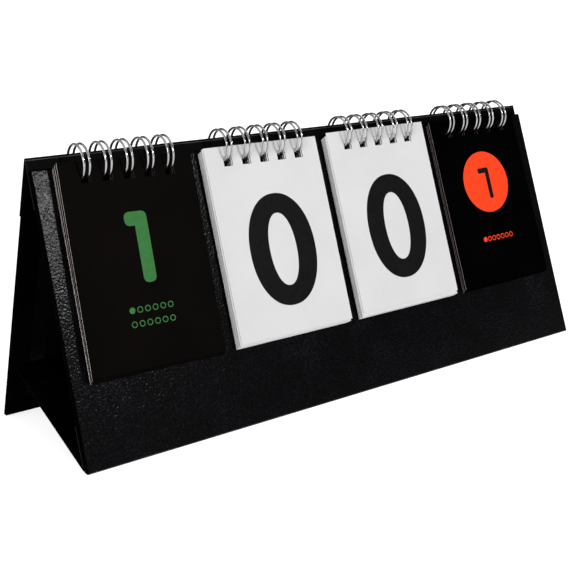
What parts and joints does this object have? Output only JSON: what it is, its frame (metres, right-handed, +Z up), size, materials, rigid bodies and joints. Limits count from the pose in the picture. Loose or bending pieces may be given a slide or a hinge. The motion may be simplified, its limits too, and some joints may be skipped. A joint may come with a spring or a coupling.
{
  "type": "countdown calendar",
  "caption": "Tent-shaped desk countdown calendar: a leatherette stand carries stacks of flip cards on twin-loop wire combs. The back panel folds at the ridge and a strut holds it open.",
  "frame": {"origin": "on the table, under the middle of the stand's box", "axes": "+X to the right as seen from the front, +Y to the back, +Z up"},
  "size_m": [0.25, 0.0758, 0.1102],
  "materials": {
    "leatherette": "fine grain, satin",
    "greyboard": "matt",
    "lining_paper": "matt",
    "book_cloth": "smooth",
    "wire": "bright",
    "month_card": "printed, satin",
    "digit_card": "printed, satin",
    "weekday_card": "printed, satin",
    "tape": "hook and loop"
  },
  "bodies": {
    "stand": {"front_board": "greyboard", "front_wrap": "leatherette", "front_lining": "lining_paper", "ridge_cloth": "book_cloth", "strut_cloth": "book_cloth"},
    "back_panel": {"back_board": "greyboard", "back_wrap": "leatherette", "back_lining": "lining_paper", "ridge_cloth_rear": "book_cloth", "loop_tape": "tape"},
    "strut": {"strut_board": "greyboard", "strut_wrap": "leatherette", "strut_flap": "book_cloth", "hook_tape": "tape"},
    "month_comb": {"month_comb": "wire"},
    "month_card_12": {"month_card_12": "month_card"},
    "month_card_11": {"month_card_11": "month_card"},
    "month_card_10": {"month_card_10": "month_card"},
    "month_card_09": {"month_card_09": "month_card"},
    "month_card_08": {"month_card_08": "month_card"},
    "month_card_07": {"month_card_07": "month_card"},
    "month_card_06": {"month_card_06": "month_card"},
    "month_card_05": {"month_card_05": "month_card"},
    "month_card_04": {"month_card_04": "month_card"},
    "month_card_03": {"month_card_03": "month_card"},
    "month_card_02": {"month_card_02": "month_card"},
    "month_card_01": {"month_card_01": "month_card"},
    "tens_comb": {"tens_comb": "wire"},
    "tens_card_9": {"tens_card_9": "digit_card"},
    "tens_card_8": {"tens_card_8": "digit_card"},
    "tens_card_7": {"tens_card_7": "digit_card"},
    "tens_card_6": {"tens_card_6": "digit_card"},
    "tens_card_5": {"tens_card_5": "digit_card"},
    "tens_card_4": {"tens_card_4": "digit_card"},
    "tens_card_3": {"tens_card_3": "digit_card"},
    "tens_card_2": {"tens_card_2": "digit_card"},
    "tens_card_1": {"tens_card_1": "digit_card"},
    "tens_card_0": {"tens_card_0": "digit_card"},
    "units_comb": {"units_comb": "wire"},
    "units_card_9": {"units_card_9": "digit_card"},
    "units_card_8": {"units_card_8": "digit_card"},
    "units_card_7": {"units_card_7": "digit_card"},
    "units_card_6": {"units_card_6": "digit_card"},
    "units_card_5": {"units_card_5": "digit_card"},
    "units_card_4": {"units_card_4": "digit_card"},
    "units_card_3": {"units_card_3": "digit_card"},
    "units_card_2": {"units_card_2": "digit_card"},
    "units_card_1": {"units_card_1": "digit_card"},
    "units_card_0": {"units_card_0": "digit_card"},
    "weekday_comb": {"weekday_comb": "wire"},
    "weekday_card_7": {"weekday_card_7": "weekday_card"},
    "weekday_card_6": {"weekday_card_6": "weekday_card"},
    "weekday_card_5": {"weekday_card_5": "weekday_card"},
    "weekday_card_4": {"weekday_card_4": "weekday_card"},
    "weekday_card_3": {"weekday_card_3": "weekday_card"},
    "weekday_card_2": {"weekday_card_2": "weekday_card"},
    "weekday_card_1": {"weekday_card_1": "weekday_card"}
  },
  "joints": [
    {"name": "ridge_fold", "type": "hinge", "parent": "stand", "child": "back_panel", "pos_m": [0, -0.00367, 0.10625], "axis": [1, 0, 0], "range_deg": [0, 100]},
    {"name": "strut_fold", "type": "hinge", "parent": "stand", "child": "strut", "pos_m": [0, -0.03452, 0.00212], "axis": [1, 0, 0], "range_deg": [0, 34]},
    {"name": "month_comb_turn", "type": "hinge", "parent": "stand", "child": "month_comb", "pos_m": [-0.09, -0.00857, 0.10301], "axis": [1, 0, 0], "range_deg": [-3, 3]},
    {"name": "month_card_12_flip", "type": "hinge", "parent": "stand", "child": "month_card_12", "pos_m": [-0.09, -0.00857, 0.10301], "axis": [-1, 0, 0], "range_deg": [0, 180]},
    {"name": "month_card_11_flip", "type": "hinge", "parent": "month_card_12", "child": "month_card_11", "pos_m": [-0.09, -0.00857, 0.10301], "axis": [-1, 0, 0], "range_deg": [0, 180]},
    {"name": "month_card_10_flip", "type": "hinge", "parent": "month_card_11", "child": "month_card_10", "pos_m": [-0.09, -0.00857, 0.10301], "axis": [-1, 0, 0], "range_deg": [0, 180]},
    {"name": "month_card_09_flip", "type": "hinge", "parent": "month_card_10", "child": "month_card_09", "pos_m": [-0.09, -0.00857, 0.10301], "axis": [-1, 0, 0], "range_deg": [0, 180]},
    {"name": "month_card_08_flip", "type": "hinge", "parent": "month_card_09", "child": "month_card_08", "pos_m": [-0.09, -0.00857, 0.10301], "axis": [-1, 0, 0], "range_deg": [0, 180]},
    {"name": "month_card_07_flip", "type": "hinge", "parent": "month_card_08", "child": "month_card_07", "pos_m": [-0.09, -0.00857, 0.10301], "axis": [-1, 0, 0], "range_deg": [0, 180]},
    {"name": "month_card_06_flip", "type": "hinge", "parent": "month_card_07", "child": "month_card_06", "pos_m": [-0.09, -0.00857, 0.10301], "axis": [-1, 0, 0], "range_deg": [0, 180]},
    {"name": "month_card_05_flip", "type": "hinge", "parent": "month_card_06", "child": "month_card_05", "pos_m": [-0.09, -0.00857, 0.10301], "axis": [-1, 0, 0], "range_deg": [0, 180]},
    {"name": "month_card_04_flip", "type": "hinge", "parent": "month_card_05", "child": "month_card_04", "pos_m": [-0.09, -0.00857, 0.10301], "axis": [-1, 0, 0], "range_deg": [0, 180]},
    {"name": "month_card_03_flip", "type": "hinge", "parent": "month_card_04", "child": "month_card_03", "pos_m": [-0.09, -0.00857, 0.10301], "axis": [-1, 0, 0], "range_deg": [0, 180]},
    {"name": "month_card_02_flip", "type": "hinge", "parent": "month_card_03", "child": "month_card_02", "pos_m": [-0.09, -0.00857, 0.10301], "axis": [-1, 0, 0], "range_deg": [0, 180]},
    {"name": "month_card_01_flip", "type": "hinge", "parent": "month_card_02", "child": "month_card_01", "pos_m": [-0.09, -0.00857, 0.10301], "axis": [-1, 0, 0], "range_deg": [0, 180]},
    {"name": "tens_comb_turn", "type": "hinge", "parent": "stand", "child": "tens_comb", "pos_m": [-0.03, -0.00824, 0.10291], "axis": [1, 0, 0], "range_deg": [-3, 3]},
    {"name": "tens_card_9_flip", "type": "hinge", "parent": "stand", "child": "tens_card_9", "pos_m": [-0.03, -0.00824, 0.10291], "axis": [-1, 0, 0], "range_deg": [0, 180]},
    {"name": "tens_card_8_flip", "type": "hinge", "parent": "tens_card_9", "child": "tens_card_8", "pos_m": [-0.03, -0.00824, 0.10291], "axis": [-1, 0, 0], "range_deg": [0, 180]},
    {"name": "tens_card_7_flip", "type": "hinge", "parent": "tens_card_8", "child": "tens_card_7", "pos_m": [-0.03, -0.00824, 0.10291], "axis": [-1, 0, 0], "range_deg": [0, 180]},
    {"name": "tens_card_6_flip", "type": "hinge", "parent": "tens_card_7", "child": "tens_card_6", "pos_m": [-0.03, -0.00824, 0.10291], "axis": [-1, 0, 0], "range_deg": [0, 180]},
    {"name": "tens_card_5_flip", "type": "hinge", "parent": "tens_card_6", "child": "tens_card_5", "pos_m": [-0.03, -0.00824, 0.10291], "axis": [-1, 0, 0], "range_deg": [0, 180]},
    {"name": "tens_card_4_flip", "type": "hinge", "parent": "tens_card_5", "child": "tens_card_4", "pos_m": [-0.03, -0.00824, 0.10291], "axis": [-1, 0, 0], "range_deg": [0, 180]},
    {"name": "tens_card_3_flip", "type": "hinge", "parent": "tens_card_4", "child": "tens_card_3", "pos_m": [-0.03, -0.00824, 0.10291], "axis": [-1, 0, 0], "range_deg": [0, 180]},
    {"name": "tens_card_2_flip", "type": "hinge", "parent": "tens_card_3", "child": "tens_card_2", "pos_m": [-0.03, -0.00824, 0.10291], "axis": [-1, 0, 0], "range_deg": [0, 180]},
    {"name": "tens_card_1_flip", "type": "hinge", "parent": "tens_card_2", "child": "tens_card_1", "pos_m": [-0.03, -0.00824, 0.10291], "axis": [-1, 0, 0], "range_deg": [0, 180]},
    {"name": "tens_card_0_flip", "type": "hinge", "parent": "tens_card_1", "child": "tens_card_0", "pos_m": [-0.03, -0.00824, 0.10291], "axis": [-1, 0, 0], "range_deg": [0, 180]},
    {"name": "units_comb_turn", "type": "hinge", "parent": "stand", "child": "units_comb", "pos_m": [0.03, -0.00824, 0.10291], "axis": [1, 0, 0], "range_deg": [-3, 3]},
    {"name": "units_card_9_flip", "type": "hinge", "parent": "stand", "child": "units_card_9", "pos_m": [0.03, -0.00824, 0.10291], "axis": [-1, 0, 0], "range_deg": [0, 180]},
    {"name": "units_card_8_flip", "type": "hinge", "parent": "units_card_9", "child": "units_card_8", "pos_m": [0.03, -0.00824, 0.10291], "axis": [-1, 0, 0], "range_deg": [0, 180]},
    {"name": "units_card_7_flip", "type": "hinge", "parent": "units_card_8", "child": "units_card_7", "pos_m": [0.03, -0.00824, 0.10291], "axis": [-1, 0, 0], "range_deg": [0, 180]},
    {"name": "units_card_6_flip", "type": "hinge", "parent": "units_card_7", "child": "units_card_6", "pos_m": [0.03, -0.00824, 0.10291], "axis": [-1, 0, 0], "range_deg": [0, 180]},
    {"name": "units_card_5_flip", "type": "hinge", "parent": "units_card_6", "child": "units_card_5", "pos_m": [0.03, -0.00824, 0.10291], "axis": [-1, 0, 0], "range_deg": [0, 180]},
    {"name": "units_card_4_flip", "type": "hinge", "parent": "units_card_5", "child": "units_card_4", "pos_m": [0.03, -0.00824, 0.10291], "axis": [-1, 0, 0], "range_deg": [0, 180]},
    {"name": "units_card_3_flip", "type": "hinge", "parent": "units_card_4", "child": "units_card_3", "pos_m": [0.03, -0.00824, 0.10291], "axis": [-1, 0, 0], "range_deg": [0, 180]},
    {"name": "units_card_2_flip", "type": "hinge", "parent": "units_card_3", "child": "units_card_2", "pos_m": [0.03, -0.00824, 0.10291], "axis": [-1, 0, 0], "range_deg": [0, 180]},
    {"name": "units_card_1_flip", "type": "hinge", "parent": "units_card_2", "child": "units_card_1", "pos_m": [0.03, -0.00824, 0.10291], "axis": [-1, 0, 0], "range_deg": [0, 180]},
    {"name": "units_card_0_flip", "type": "hinge", "parent": "units_card_1", "child": "units_card_0", "pos_m": [0.03, -0.00824, 0.10291], "axis": [-1, 0, 0], "range_deg": [0, 180]},
    {"name": "weekday_comb_turn", "type": "hinge", "parent": "stand", "child": "weekday_comb", "pos_m": [0.09, -0.00773, 0.10276], "axis": [1, 0, 0], "range_deg": [-3, 3]},
    {"name": "weekday_card_7_flip", "type": "hinge", "parent": "stand", "child": "weekday_card_7", "pos_m": [0.09, -0.00773, 0.10276], "axis": [-1, 0, 0], "range_deg": [0, 180]},
    {"name": "weekday_card_6_flip", "type": "hinge", "parent": "weekday_card_7", "child": "weekday_card_6", "pos_m": [0.09, -0.00773, 0.10276], "axis": [-1, 0, 0], "range_deg": [0, 180]},
    {"name": "weekday_card_5_flip", "type": "hinge", "parent": "weekday_card_6", "child": "weekday_card_5", "pos_m": [0.09, -0.00773, 0.10276], "axis": [-1, 0, 0], "range_deg": [0, 180]},
    {"name": "weekday_card_4_flip", "type": "hinge", "parent": "weekday_card_5", "child": "weekday_card_4", "pos_m": [0.09, -0.00773, 0.10276], "axis": [-1, 0, 0], "range_deg": [0, 180]},
    {"name": "weekday_card_3_flip", "type": "hinge", "parent": "weekday_card_4", "child": "weekday_card_3", "pos_m": [0.09, -0.00773, 0.10276], "axis": [-1, 0, 0], "range_deg": [0, 180]},
    {"name": "weekday_card_2_flip", "type": "hinge", "parent": "weekday_card_3", "child": "weekday_card_2", "pos_m": [0.09, -0.00773, 0.10276], "axis": [-1, 0, 0], "range_deg": [0, 180]},
    {"name": "weekday_card_1_flip", "type": "hinge", "parent": "weekday_card_2", "child": "weekday_card_1", "pos_m": [0.09, -0.00773, 0.10276], "axis": [-1, 0, 0], "range_deg": [0, 180]}
  ]
}
